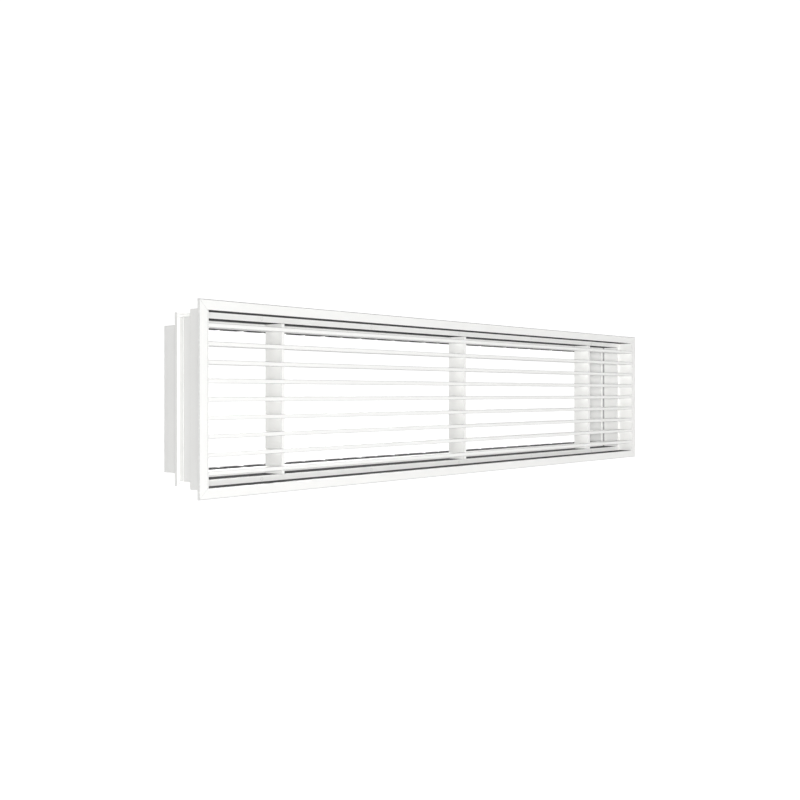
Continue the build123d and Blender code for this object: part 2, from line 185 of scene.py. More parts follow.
def welded(node):
    """A CAD node's mesh with its split points joined and its flat faces whole."""
    mesh = bmesh.new()
    mesh.from_mesh(frame["nodes"][node].data)
    bmesh.ops.remove_doubles(mesh, verts=mesh.verts, dist=WELD)
    bmesh.ops.dissolve_limit(mesh, angle_limit=FLAT_ANGLE, verts=mesh.verts, edges=mesh.edges)
    return mesh


def solids(node):
    """The lowest and highest corner of each separate solid in a CAD node, left to right."""
    mesh = welded(node)
    left = set(mesh.verts)
    boxes = []
    while left:
        reached = [left.pop()]
        for vert in reached:
            for edge in vert.link_edges:
                other = edge.other_vert(vert)
                if other in left:
                    left.discard(other)
                    reached.append(other)
        low = Vector([min(v.co[i] for v in reached) for i in range(3)])
        high = Vector([max(v.co[i] for v in reached) for i in range(3)])
        boxes.append((low, high))
    mesh.free()
    return sorted(boxes, key=lambda box: (round(box[0].x, 4), round(box[0].z, 4)))


def finished_piece(name, mesh, node, finish, smooth=True):
    """Turn a mesh into a piece that stands for a CAD node, on the node's body and slot."""
    bmesh.ops.recalc_face_normals(mesh, faces=mesh.faces)
    for face in mesh.faces:
        face.smooth = smooth
    data = bpy.data.meshes.new(name)
    mesh.to_mesh(data)
    mesh.free()
    piece = bpy.data.objects.new(name, data)
    bpy.context.scene.collection.objects.link(piece)
    data.materials.append(FINISHES[finish])
    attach(piece, BODY_OF[node])
    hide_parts(node)
    return piece


def round_edges(piece, width, steps=2, angle=35):
    """Rounded edges with even shading."""
    bevel = piece.modifiers.new("edges", "BEVEL")
    bevel.width = width
    bevel.segments = steps
    bevel.limit_method = "ANGLE"
    bevel.angle_limit = math.radians(angle)
    bevel.harden_normals = True
    shade = piece.modifiers.new("shading", "WEIGHTED_NORMAL")
    shade.keep_sharp = True


def lathe(mesh, outline, place, axis, steps=28):
    """Turn an outline of (radius, height) points about an axis."""
    spin = axis.to_track_quat("Z", "Y").to_matrix()
    rings = []
    for radius, height in outline:
        if radius < TINY:
            rings.append([mesh.verts.new(place + spin @ Vector((0, 0, height)))])
            continue
        ring = []
        for i in range(steps):
            turn = math.tau * i / steps
            point = Vector((radius * math.cos(turn), radius * math.sin(turn), height))
            ring.append(mesh.verts.new(place + spin @ point))
        rings.append(ring)
    for low, high in zip(rings, rings[1:]):
        for i in range(steps):
            j = (i + 1) % steps
            if len(low) == 1:
                mesh.faces.new((low[0], high[i], high[j]))
            elif len(high) == 1:
                mesh.faces.new((low[i], high[0], low[j]))
            else:
                mesh.faces.new((low[i], high[i], high[j], low[j]))


def skin(mesh, rings):
    """Join a row of closed rings of points into one skin, closed at both ends."""
    rows = [[mesh.verts.new(point) for point in ring] for ring in rings]
    count = len(rows[0])
    for low, high in zip(rows, rows[1:]):
        for i in range(count):
            j = (i + 1) % count
            mesh.faces.new((low[i], low[j], high[j], high[i]))
    mesh.faces.new(rows[0][::-1])
    mesh.faces.new(rows[-1])


def rounded_path(corners, radius, steps=6):
    """A 2-D path through its corners, each one turned on an arc."""
    points = [Vector(corners[0])]
    for before, corner, after in zip(corners, corners[1:], corners[2:]):
        corner = Vector(corner)
        back = (Vector(before) - corner).normalized()
        ahead = (Vector(after) - corner).normalized()
        half = back.angle(ahead) / 2
        centre = corner + (back + ahead).normalized() * (radius / math.sin(half))
        start = corner + back * (radius / math.tan(half)) - centre
        end = corner + ahead * (radius / math.tan(half)) - centre
        turn = start.angle_signed(end)
        for i in range(steps + 1):
            points.append(centre + Matrix.Rotation(-turn * i / steps, 2) @ start)
    points.append(Vector(corners[-1]))
    return points


def spaced(path, step):
    """The same 2-D path with extra points on its long runs."""
    points = [path[0]]
    for a, b in zip(path, path[1:]):
        count = max(1, round((b - a).length / step))
        points += [a.lerp(b, i / count) for i in range(1, count + 1)]
    return points


def leaf(mesh, path, half_width, thickness, to_place):
    """A strip of sheet bent along a 2-D path.

    half_width gives half the strip's width from the distance run and the whole length.
    to_place turns a point of the path and a distance across into a place.
    """
    total = sum((b - a).length for a, b in zip(path, path[1:]))
    run = 0.0
    rings = []
    for i, point in enumerate(path):
        before = path[max(i - 1, 0)]
        after = path[min(i + 1, len(path) - 1)]
        if i:
            run += (point - before).length
        ahead = (after - before).normalized()
        normal = Vector((-ahead.y, ahead.x)) * (thickness / 2)
        half = half_width(run, total)
        rings.append(
            [
                to_place(point + normal, -half),
                to_place(point + normal, half),
                to_place(point - normal, half),
                to_place(point - normal, -half),
            ]
        )
    skin(mesh, rings)


def corner_cut(distance, radius):
    """How far a rounded corner has drawn the side in, at a distance from the end."""
    if distance >= radius:
        return 0.0
    return radius - math.sqrt(max(radius**2 - (radius - distance) ** 2, 0.0))


def cut_away(piece, cutters):
    """Cut a mesh of cutters out of a piece for good."""
    data = bpy.data.meshes.new("cutters")
    bmesh.ops.recalc_face_normals(cutters, faces=cutters.faces)
    cutters.to_mesh(data)
    cutters.free()
    tool = bpy.data.objects.new("cutters", data)
    bpy.context.scene.collection.objects.link(tool)
    cut = piece.modifiers.new("cut", "BOOLEAN")
    cut.operation = "DIFFERENCE"
    cut.solver = "EXACT"
    cut.object = tool
    keep_modifiers(piece)
    bpy.data.objects.remove(tool)


def keep_modifiers(piece):
    """Make a piece's modifiers part of its mesh."""
    view = bpy.context.evaluated_depsgraph_get()
    data = bpy.data.meshes.new_from_object(piece.evaluated_get(view), depsgraph=view)
    piece.modifiers.clear()
    piece.data = data


# ---------------------------------------------------------------- shader helpers
def link(tree, source, target):
    """Join two sockets."""
    tree.links.new(source, target)


def maths(tree, operation, a, b=0.5, c=0.0):
    """A maths node on sockets or plain numbers; its output."""
    node = tree.nodes.new("ShaderNodeMath")
    node.operation = operation
    for socket, value in zip(node.inputs, (a, b, c)):
        if isinstance(value, bpy.types.NodeSocket):
            link(tree, value, socket)
        else:
            socket.default_value = value
    return node.outputs[0]


def spread(tree, value, low, high, to_low=0.0, to_high=1.0):
    """A value moved from one range to another, clamped; its output."""
    node = tree.nodes.new("ShaderNodeMapRange")
    labels = ("From Min", "From Max", "To Min", "To Max")
    for label, number in zip(labels, (low, high, to_low, to_high)):
        node.inputs[label].default_value = number
    link(tree, value, node.inputs["Value"])
    return node.outputs["Result"]


def blend_colours(tree, mask, first, second):
    """The first colour, turning into the second where the mask is 1; its output."""
    node = tree.nodes.new("ShaderNodeMix")
    node.data_type = "RGBA"
    link(tree, mask, node.inputs["Factor"])
    for socket, value in ((node.inputs[6], first), (node.inputs[7], second)):
        if isinstance(value, bpy.types.NodeSocket):
            link(tree, value, socket)
        else:
            socket.default_value = value
    return node.outputs[2]


def grain(tree, place, scale, detail=3.0, rough=0.55):
    """A noise in object space; its output."""
    node = tree.nodes.new("ShaderNodeTexNoise")
    node.inputs["Detail"].default_value = detail
    node.inputs["Roughness"].default_value = rough
    link(tree, place, node.inputs["Vector"])
    if isinstance(scale, bpy.types.NodeSocket):
        link(tree, scale, node.inputs["Scale"])
    else:
        node.inputs["Scale"].default_value = scale
    return node.outputs["Fac"]


def object_space(tree, stretch=None):
    """Object coordinates, stretched along the axes if asked; the output."""
    place = tree.nodes.new("ShaderNodeTexCoord").outputs["Object"]
    if stretch is None:
        return place
    node = tree.nodes.new("ShaderNodeMapping")
    node.inputs["Scale"].default_value = stretch
    link(tree, place, node.inputs["Vector"])
    return node.outputs["Vector"]


def new_group(name, inputs, outputs):
    """An empty node group with named sockets; its tree, inputs and outputs."""
    tree = bpy.data.node_groups.new(name, "ShaderNodeTree")
    kinds = {"colour": "NodeSocketColor", "number": "NodeSocketFloat"}
    for label, kind, value in inputs:
        socket = tree.interface.new_socket(label, in_out="INPUT", socket_type=kinds[kind])
        socket.default_value = value
    for label, kind in outputs:
        tree.interface.new_socket(label, in_out="OUTPUT", socket_type=kinds[kind])
    into = tree.nodes.new("NodeGroupInput")
    out = tree.nodes.new("NodeGroupOutput")
    return tree, into.outputs, out.inputs


def use_group(tree, group, **values):
    """Place a node group in a material, with its own values; its outputs."""
    node = tree.nodes.new("ShaderNodeGroup")
    node.node_tree = group
    for label, value in values.items():
        socket = node.inputs[label.replace("_", " ")]
        if isinstance(value, bpy.types.NodeSocket):
            link(tree, value, socket)
        else:
            socket.default_value = value
    return node.outputs


# ---------------------------------------------------------------- shared effects
def coat_skin_group():
    """A sprayed and baked coat: slow tone drift, peel height and uneven gloss."""
    tree, into, out = new_group(
        "Coat skin",
        [
            ("Colour", "colour", (0.9, 0.9, 0.9, 1)),
            ("Drift Colour", "colour", (0.88, 0.88, 0.88, 1)),
            ("Peel Scale", "number", 1100.0),
            ("Roughness", "number", 0.4),
            ("Gloss Spread", "number", 0.06),
        ],
        [("Colour", "colour"), ("Roughness", "number"), ("Height", "number")],
    )
    place = object_space(tree)
    drift = spread(tree, grain(tree, place, 14.0), 0.38, 0.64)
    link(tree, blend_colours(tree, drift, into["Colour"], into["Drift Colour"]), out["Colour"])
    uneven = maths(tree, "SUBTRACT", grain(tree, place, 60.0), 0.5)
    gloss = maths(tree, "MULTIPLY_ADD", uneven, into["Gloss Spread"], into["Roughness"])
    link(tree, gloss, out["Roughness"])
    peel = grain(tree, place, into["Peel Scale"], 1.5, 0.4)
    grit = grain(tree, place, maths(tree, "MULTIPLY", into["Peel Scale"], 4.0), 2.0)
    link(tree, maths(tree, "MULTIPLY_ADD", grit, 0.25, peel), out["Height"])
    return tree


def settled_dust_group():
    """Dust that lies on faces that look up, thicker in patches."""
    tree, into, out = new_group(
        "Settled dust",
        [
            ("Colour", "colour", (0.9, 0.9, 0.9, 1)),
            ("Dust Colour", "colour", (0.62, 0.6, 0.56, 1)),
            ("Amount", "number", 0.1),
            ("Patch Scale", "number", 90.0),
        ],
        [("Colour", "colour"), ("Cover", "number")],
    )
    facing = tree.nodes.new("ShaderNodeSeparateXYZ")
    geometry = tree.nodes.new("ShaderNodeNewGeometry")
    link(tree, geometry.outputs["Normal"], facing.inputs[0])
    up = spread(tree, facing.outputs["Z"], 0.4, 0.95)
    patches = grain(tree, object_space(tree), into["Patch Scale"], 5.0, 0.7)
    cover = maths(tree, "MULTIPLY", up, spread(tree, patches, 0.35, 0.75))
    cover = maths(tree, "MULTIPLY", cover, into["Amount"])
    link(tree, cover, out["Cover"])
    link(tree, blend_colours(tree, cover, into["Colour"], into["Dust Colour"]), out["Colour"])
    return tree


def edge_wear_and_painted_shade_group():
    """A mask within reach of sharp edges and on rounded arrises: rubbed wear on bare metal,
    painted edge shade on the white coats.
    """
    tree, into, out = new_group(
        "Edge wear and painted shade",
        [("Reach", "number", 0.0004), ("Break Scale", "number", 500.0), ("Amount", "number", 0.5)],
        [("Mask", "number")],
    )
    surface = tree.nodes.new("ShaderNodeTexCoord")
    parts = tree.nodes.new("ShaderNodeSeparateXYZ")
    link(tree, surface.outputs["Normal"], parts.inputs[0])
    sizes = [maths(tree, "ABSOLUTE", parts.outputs[i]) for i in range(3)]
    square_on = maths(tree, "MAXIMUM", maths(tree, "MAXIMUM", sizes[0], sizes[1]), sizes[2])
    # Rounded arrises: where the white coats get painted shade
    rounding = spread(tree, square_on, 0.985, 0.9)
    rounded = tree.nodes.new("ShaderNodeBevel")
    rounded.samples = 4
    link(tree, into["Reach"], rounded.inputs["Radius"])
    geometry = tree.nodes.new("ShaderNodeNewGeometry")
    agree = tree.nodes.new("ShaderNodeVectorMath")
    agree.operation = "DOT_PRODUCT"
    link(tree, rounded.outputs[0], agree.inputs[0])
    link(tree, geometry.outputs["Normal"], agree.inputs[1])
    # Within reach of sharp edges: rubbed wear on metal, painted shade on the white coats
    edge = spread(tree, agree.outputs["Value"], 0.99, 0.86)
    specks = grain(tree, object_space(tree), into["Break Scale"])
    broken = spread(tree, specks, 0.3, 0.5, 0.55, 1.0)
    edge = maths(tree, "MAXIMUM", edge, rounding)
    mask = maths(tree, "MULTIPLY", maths(tree, "MULTIPLY", edge, broken), into["Amount"])
    link(tree, mask, out["Mask"])
    return tree


def rolled_grain_group():
    """Rolling or drawing lines that run along the strip."""
    tree, into, out = new_group(
        "Rolled grain",
        [
            ("Colour", "colour", (0.6, 0.6, 0.6, 1)),
            ("Line Colour", "colour", (0.5, 0.5, 0.5, 1)),
            ("Line Scale", "number", 900.0),
            ("Roughness", "number", 0.3),
            ("Gloss Spread", "number", 0.2),
        ],
        [("Colour", "colour"), ("Roughness", "number"), ("Height", "number")],
    )
    lines = grain(tree, object_space(tree, (0.03, 1, 1)), into["Line Scale"], 4.0, 0.7)
    clouds = grain(tree, object_space(tree), 120.0, 3.0)
    tone = spread(tree, maths(tree, "MULTIPLY_ADD", clouds, 0.5, lines), 0.5, 1.0)
    link(tree, blend_colours(tree, tone, into["Colour"], into["Line Colour"]), out["Colour"])
    uneven = maths(tree, "SUBTRACT", lines, 0.5)
    gloss = maths(tree, "MULTIPLY_ADD", uneven, into["Gloss Spread"], into["Roughness"])
    link(tree, gloss, out["Roughness"])
    link(tree, lines, out["Height"])
    return tree


def soft_pores_group():
    """Cut cells of a foam, or the tips of a flocked pile, with painted shade in the pits."""
    tree, into, out = new_group(
        "Soft pores",
        [
            ("Colour", "colour", (0.4, 0.4, 0.4, 1)),
            ("Pore Colour", "colour", (0.2, 0.2, 0.2, 1)),
            ("Pore Scale", "number", 1500.0),
        ],
        [("Colour", "colour"), ("Height", "number")],
    )
    place = object_space(tree)
    cells = tree.nodes.new("ShaderNodeTexVoronoi")
    link(tree, place, cells.inputs["Vector"])
    link(tree, into["Pore Scale"], cells.inputs["Scale"])
    pit = spread(tree, cells.outputs["Distance"], 0.15, 0.75)
    fuzz = grain(tree, place, maths(tree, "MULTIPLY", into["Pore Scale"], 2.5), 3.0, 0.7)
    height = maths(tree, "MULTIPLY_ADD", fuzz, 0.5, pit)
    # Pits darkened towards the pore colour: painted shade in the cells, with a random tone added
    # below
    shade = maths(tree, "MULTIPLY", spread(tree, height, 0.15, 0.9, 1.0, 0.0), 0.8)
    worn = maths(tree, "MULTIPLY", grain(tree, place, 35.0, 4.0), 0.5)
    mask = maths(tree, "ADD", shade, worn)
    link(tree, blend_colours(tree, mask, into["Colour"], into["Pore Colour"]), out["Colour"])
    link(tree, height, out["Height"])
    return tree


# ---------------------------------------------------------------- materials
def new_material(name, roughness, metallic=0.0, level=0.5):
    """A material with one Principled shader; the material, its tree and the shader."""
    material = bpy.data.materials.new(name)
    material.use_nodes = True
    tree = material.node_tree
    shader = tree.nodes["Principled BSDF"]
    shader.inputs["Roughness"].default_value = roughness
    shader.inputs["Metallic"].default_value = metallic
    shader.inputs["Specular IOR Level"].default_value = level
    return material, tree, shader


def raise_surface(tree, shader, height, distance):
    """Drive the shader's normal from a height."""
    bump = tree.nodes.new("ShaderNodeBump")
    bump.inputs["Strength"].default_value = 1.0
    bump.inputs["Distance"].default_value = distance
    link(tree, height, bump.inputs["Height"])
    link(tree, bump.outputs["Normal"], shader.inputs["Normal"])


def white_coat(name, colour, drift, roughness, peel_scale, peel_height, dust):
    """White baked coat on aluminium: peel, painted shade along edges and arrises, and a trace of
    dust.
    """
    material, tree, shader = new_material(name, roughness, level=0.4)
    skin_out = use_group(
        tree,
        COAT_SKIN,
        Colour=colour,
        Drift_Colour=drift,
        Peel_Scale=peel_scale,
        Roughness=roughness,
        Gloss_Spread=0.08,
    )
    edge = use_group(tree, EDGE_WEAR_AND_PAINTED_SHADE, Reach=0.5 * MM, Break_Scale=420.0, Amount=0.9)
    # Edges darkened to grey: painted shade that draws the outlines of bars and frames
    edge_shaded_colour = blend_colours(tree, edge["Mask"], skin_out["Colour"], (0.42, 0.42, 0.42, 1))
    dusty = use_group(tree, SETTLED_DUST, Colour=edge_shaded_colour, Amount=dust, Patch_Scale=70.0)
    link(tree, dusty["Colour"], shader.inputs["Base Color"])
    matt = maths(tree, "MULTIPLY_ADD", dusty["Cover"], 0.5, skin_out["Roughness"])
    link(tree, matt, shader.inputs["Roughness"])
    raise_surface(tree, shader, skin_out["Height"], peel_height)
    return material


def powder_coat():
    """Satin powder coat on the extrusions."""
    return white_coat(
        "white powder coat",
        colour=(0.82, 0.82, 0.806, 1),
        drift=(0.805, 0.805, 0.79, 1),
        roughness=0.42,
        peel_scale=900.0,
        peel_height=0.012 * MM,
        dust=0.05,
    )


def sheet_coat():
    """Flatter coat on the folded sheet."""
    return white_coat(
        "white sheet coat",
        colour=(0.81, 0.81, 0.796, 1),
        drift=(0.79, 0.79, 0.776, 1),
        roughness=0.5,
        peel_scale=1300.0,
        peel_height=0.008 * MM,
        dust=0.07,
    )


def painted_rivet():
    """The same coat brushed over a rivet's head."""
    return white_coat(
        "painted rivet",
        colour=(0.81, 0.81, 0.796, 1),
        drift=(0.77, 0.77, 0.756, 1),
        roughness=0.36,
        peel_scale=1600.0,
        peel_height=0.01 * MM,
        dust=0.04,
    )


def black_lining():
    """Matt black flocked strip; its black stands in for the shade on the walls' inner faces,
    painted shade.
    """
    material, tree, shader = new_material("black painted-shade lining", 0.95, level=0.15)
    shader.inputs["Sheen Weight"].default_value = 0.12
    shader.inputs["Sheen Roughness"].default_value = 0.6
    shader.inputs["Sheen Tint"].default_value = (0.5, 0.5, 0.52, 1)
    pile = use_group(
        tree,
        # Near-black pile: painted shade on the inner top and bottom walls
        SOFT_PORES,
        Colour=(0.034, 0.034, 0.036, 1),
        Pore_Colour=(0.012, 0.012, 0.013, 1),
        Pore_Scale=2600.0,
    )
    dusty = use_group(tree, SETTLED_DUST, Colour=pile["Colour"], Amount=0.035, Patch_Scale=160.0)
    link(tree, dusty["Colour"], shader.inputs["Base Color"])
    raise_surface(tree, shader, pile["Height"], 0.12 * MM)
    return material


def grey_seal():
    """Grey closed-cell foam, cut open on its faces."""
    material, tree, shader = new_material("grey seal", 0.88, level=0.25)
    cells = use_group(
        tree,
        SOFT_PORES,
        Colour=(0.42, 0.42, 0.42, 1),
        Pore_Colour=(0.24, 0.24, 0.245, 1),
        Pore_Scale=1400.0,
    )
    link(tree, cells["Colour"], shader.inputs["Base Color"])
    raise_surface(tree, shader, cells["Height"], 0.2 * MM)
    return material


def bare_metal(name, colour, line_colour, roughness, line_scale, worn_colour):
    """Uncoated metal with rolling lines and rubbed edges."""
    material, tree, shader = new_material(name, roughness, metallic=1.0)
    lines = use_group(
        tree,
        ROLLED_GRAIN,
        Colour=colour,
        Line_Colour=line_colour,
        Line_Scale=line_scale,
        Roughness=roughness,
        Gloss_Spread=0.22,
    )
    edge = use_group(tree, EDGE_WEAR_AND_PAINTED_SHADE, Reach=0.3 * MM, Break_Scale=700.0, Amount=0.8)
    rubbed = blend_colours(tree, edge["Mask"], lines["Colour"], worn_colour)
    link(tree, rubbed, shader.inputs["Base Color"])
    link(tree, lines["Roughness"], shader.inputs["Roughness"])
    raise_surface(tree, shader, lines["Height"], 0.006 * MM)
    return material


def bare_aluminium():
    """Mill-finish aluminium of the rivets and corner cleats."""
    return bare_metal(
        "bare aluminium",
        colour=(0.8, 0.8, 0.82, 1),
        line_colour=(0.7, 0.7, 0.72, 1),
        roughness=0.38,
        line_scale=1500.0,
        worn_colour=(0.88, 0.88, 0.89, 1),
    )


def zinc_plate():
    """Bright zinc plate with a faint blue passivation."""
    return bare_metal(
        "zinc plate",
        colour=(0.7, 0.72, 0.76, 1),
        line_colour=(0.63, 0.64, 0.64, 1),
        roughness=0.28,
        line_scale=600.0,
        worn_colour=(0.8, 0.8, 0.8, 1),
    )


def spring_steel():
    """Cold-rolled stainless spring strip."""
    return bare_metal(
        "spring steel",
        colour=(0.56, 0.565, 0.58, 1),
        line_colour=(0.47, 0.47, 0.48, 1),
        roughness=0.3,
        line_scale=1900.0,
        worn_colour=(0.7, 0.7, 0.71, 1),
    )


COAT_SKIN = coat_skin_group()
SETTLED_DUST = settled_dust_group()
EDGE_WEAR_AND_PAINTED_SHADE = edge_wear_and_painted_shade_group()
ROLLED_GRAIN = rolled_grain_group()
SOFT_PORES = soft_pores_group()
FINISHES = {
    "white_powder_coat": powder_coat(),
    "white_sheet_coat": sheet_coat(),
    "painted_rivet": painted_rivet(),
    "black_lining": black_lining(),
    "grey_seal": grey_seal(),
    "bare_aluminium": bare_aluminium(),
    "zinc_steel": zinc_plate(),
    "spring_steel": spring_steel(),
}
SLOT_OF = {part["node"]: part["material_slot"] for part in frame["record"]["subparts"]}
BODY_OF = {
    node: body for body, nodes in frame["record"]["behaviour"]["bodies"].items() for node in nodes
}


# ---------------------------------------------------------------- kept sheet and extrusion
def finish_kept_nodes():
    """Coat every CAD node that stays, and round its edges as the coat does."""
    for node, piece in frame["nodes"].items():
        piece.data.materials.clear()
        piece.data.materials.append(FINISHES[SLOT_OF[node]])
        join = piece.modifiers.new("join", "WELD")
        join.merge_threshold = WELD
        flats = piece.modifiers.new("flats", "DECIMATE")
        flats.decimate_type = "DISSOLVE"
        flats.angle_limit = FLAT_ANGLE
        sheet = node.startswith(("neck", "sleeve"))
        round_edges(piece, SHEET_EDGE if sheet else EXTRUSION_EDGE)


# ---------------------------------------------------------------- rivets and screws
def blind_rivet(mesh, face, axis, head, height, shank, grip):
    """A blind rivet: domed head with its broken mandrel, and a shank set flush behind."""
    outline = [
        (0, 0.5 * height),
        (0.24 * head, 0.52 * height),
        (0.3 * head, 0.34 * height),
        (0.36 * head, 0.36 * height),
        (0.42 * head, 0.9 * height),
        (0.5 * head, height),
        (0.66 * head, 0.93 * height),
        (0.82 * head, 0.74 * height),
        (0.93 * head, 0.46 * height),
        (0.99 * head, 0.2 * height),
        (head, 0.06 * height),
        (0.98 * head, 0),
        (shank, 0),
        (shank, -grip + 0.05 * MM),
        (0.94 * shank, -grip),
        (0.6 * shank, -grip),
        (0.5 * shank, -grip + 0.1 * MM),
        (0, -grip + 0.12 * MM),
    ]
    lathe(mesh, outline, face, axis)


def flush_rivet(mesh, face, axis, head, shank, grip, tail, tail_height):
    """A countersunk rivet: dished flush head, shank, and the upset tail behind."""
    cone = head - shank
    outline = [
        (0, -0.1 * MM),
        (0.5 * head, -0.09 * MM),
        (0.86 * head, -0.02 * MM),
        (0.95 * head, 0),
        (head, -0.03 * MM),
        (shank, -cone),
        (shank, -grip),
        (tail, -grip),
        (0.98 * tail, -grip - 0.45 * tail_height),
        (0.8 * tail, -grip - 0.88 * tail_height),
        (0.5 * tail, -grip - tail_height),
        (0, -grip - 0.94 * tail_height),
    ]
    lathe(mesh, outline, face, axis)


def sleeve_rivets():
    """Rivets that hold the rear sleeve to the coupling frame's web."""
    mesh = bmesh.new()
    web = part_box("coupling_top")[1].y
    back = Vector((0, 1, 0))
    for low, high in solids("sleeve_rivets"):
        head = (high.x - low.x) / 2
        face = Vector(((low.x + high.x) / 2, web + SLEEVE_SHEET, (low.z + high.z) / 2))
        blind_rivet(mesh, face, back, head, high.y - face.y, SLEEVE_SHANK, face.y - low.y)
    finished_piece("sleeve_blind_rivets", mesh, "sleeve_rivets", "bare_aluminium")


def outward_rivets(name, node, shank):
    """Rivets through the long walls, heads outward."""
    mesh = bmesh.new()
    height = OUTWARD_HEAD_HEIGHT
    for low, high in solids(node):
        up = 1 if low.z > 0 else -1
        outer = high.z if up > 0 else -low.z
        grip = high.z - low.z - height
        head = (high.x - low.x) / 2
        face = Vector(((low.x + high.x) / 2, (low.y + high.y) / 2, up * (outer - height)))
        blind_rivet(mesh, face, Vector((0, 0, up)), head, height, shank, grip)
    finished_piece(name, mesh, node, "bare_aluminium")


def ledge_rivets():
    """Painted flush rivets through the ledge and the neck's flange."""
    mesh = bmesh.new()
    front = Vector((0, -1, 0))
    tail, height = LEDGE_TAIL, LEDGE_TAIL_HEIGHT
    for low, high in solids("ledge_rivets"):
        head = (high.x - low.x) / 2
        face = Vector(((low.x + high.x) / 2, low.y, (low.z + high.z) / 2))
        grip = high.y - low.y - height
        flush_rivet(mesh, face, front, head, LEDGE_SHANK, grip, tail, height)
    finished_piece("ledge_flush_rivets", mesh, "ledge_rivets", "painted_rivet")


def screw_master(head, shank, length):
    """One countersunk screw with a cross recess, its head's face at the origin."""
    mesh = bmesh.new()
    cone = head - shank
    outline = [(0, 0), (0.97 * head, 0), (head, -0.05 * MM), (0.98 * head, -0.22 * MM)]
    outline.append((shank, -cone))
    turns = int((length - cone) / SCREW_PITCH) - 1
    for i in range(turns):
        top = -cone - 0.4 * MM - i * SCREW_PITCH
        outline += [(shank, top), (0.8 * shank, top - 0.5 * SCREW_PITCH)]
    outline += [(0.75 * shank, -length + 0.3 * MM), (0, -length)]
    lathe(mesh, outline, Vector((0, 0, 0)), Vector((0, 0, 1)), 32)
    bmesh.ops.recalc_face_normals(mesh, faces=mesh.faces)
    data = bpy.data.meshes.new("screw")
    mesh.to_mesh(data)
    mesh.free()
    screw = bpy.data.objects.new("screw", data)
    bpy.context.scene.collection.objects.link(screw)
    rings = []
    for level, reach, slot in CROSS_RECESS:
        tip, waist = reach * head, slot * head
        arm = [(tip, -waist), (tip, waist), (waist, waist)]
        ring = []
        for _ in range(4):
            ring += [Vector((x, y, level)) for x, y in arm]
            arm = [(-y, x) for x, y in arm]
        rings.append(ring)
    cutter = bmesh.new()
    skin(cutter, rings)
    cut_away(screw, cutter)
    return screw


def end_screws():
    """Screws through the end plates into the bars' ends."""
    boxes = solids("end_screws")
    low, high = boxes[0]
    head = (high.z - low.z) / 2
    screw = screw_master(head, SCREW_SHANK, high.x - low.x)
    mesh = bmesh.new()
    for number, (low, high) in enumerate(boxes):
        end = 1 if low.x > 0 else -1
        face_x = high.x if end > 0 else low.x
        face = Vector((face_x, (low.y + high.y) / 2, (low.z + high.z) / 2))
        turn = Matrix.Rotation(SCREW_TURN * number, 4, "Z")
        stand = Vector((end, 0, 0)).to_track_quat("Z", "Y").to_matrix().to_4x4()
        one = bmesh.new()
        one.from_mesh(screw.data)
        one.transform(Matrix.Translation(face) @ stand @ turn)
        copy = bpy.data.meshes.new("copy")
        one.to_mesh(copy)
        one.free()
        mesh.from_mesh(copy)
        bpy.data.meshes.remove(copy)
    bpy.data.objects.remove(screw)
    piece = finished_piece("end_cross_screws", mesh, "end_screws", "zinc_steel", smooth=False)
    piece.data.shade_smooth()
    piece.modifiers.new("shading", "WEIGHTED_NORMAL").keep_sharp = True


# ---------------------------------------------------------------- springs, clips and cleats
def core_springs():
    """Bowed leaf springs on the core's end plates."""
    mesh = bmesh.new()
    for low, high in solids("core_springs"):
        end = 1 if low.x > 0 else -1
        plate = low.x if end > 0 else -high.x
        room = high.x - low.x
        mid_y = (low.y + high.y) / 2
        mid_z = (low.z + high.z) / 2
        wide = (high.y - low.y) / 2
        length = high.z - low.z
        path = []
        for i in range(SPRING_STEPS + 1):
            share = i / SPRING_STEPS
            bow = math.sin(math.pi * share) ** 2 * (room - SPRING_SHEET)
            path.append(Vector((SPRING_SHEET / 2 + bow, (share - 0.5) * length)))

        def half_width(run, total):
            """Full width near the ends, waisted in the middle, with rounded corners."""
            near = min(run, total - run)
            waist = SPRING_WAIST * math.sin(math.pi * run / total)
            return wide * (1 - waist) - corner_cut(near, SPRING_CORNER)

        def to_place(point, across):
            """Bow away from the end plate, run up the plate."""
            return Vector((end * (plate + point.x), mid_y + across, mid_z + point.y))

        leaf(mesh, path, half_width, SPRING_SHEET, to_place)
    finished_piece("core_leaf_springs", mesh, "core_springs", "spring_steel")


def clip_bases():
    """Riveted leaves of the snap-in clips, each with the fold that carries its arm."""
    mesh = bmesh.new()
    for low, high in solids("clip_bases"):
        side = "top" if low.z > 0 else "bottom"
        centre_x = (low.x + high.x) / 2
        wide = (high.x - low.x) / 2
        wall = HALF_H - min(abs(low.z), abs(high.z))
        fold_r = (high.z - low.z) / 2 - CLIP_STEEL / 2
        front = low.y - FACE_Y
        fold_depth = high.y - FACE_Y - fold_r - CLIP_STEEL / 2
        sheet = wall - CLIP_STEEL / 2
        path = spaced([Vector((sheet, front)), Vector((sheet, fold_depth))], 0.5 * MM)
        for i in range(1, FOLD_STEPS + 1):
            turn = math.pi * i / FOLD_STEPS
            depth = fold_depth + fold_r * math.sin(turn)
            path.append(Vector((sheet - fold_r + fold_r * math.cos(turn), depth)))
        plate_end = fold_depth - front - FOLD_REACH

        def half_width(run, total):
            """Plate with rounded corners, then the narrower fold."""
            if run > plate_end:
                return FOLD_HALF_WIDTH
            near = min(run, plate_end - run)
            return max(wide - corner_cut(near, CLIP_CORNER), FOLD_HALF_WIDTH)

        leaf(mesh, path, half_width, CLIP_STEEL, across_side(side, centre_x))
    piece = finished_piece("clip_folded_bases", mesh, "clip_bases", "spring_steel")
    round_edges(piece, CLIP_EDGE)


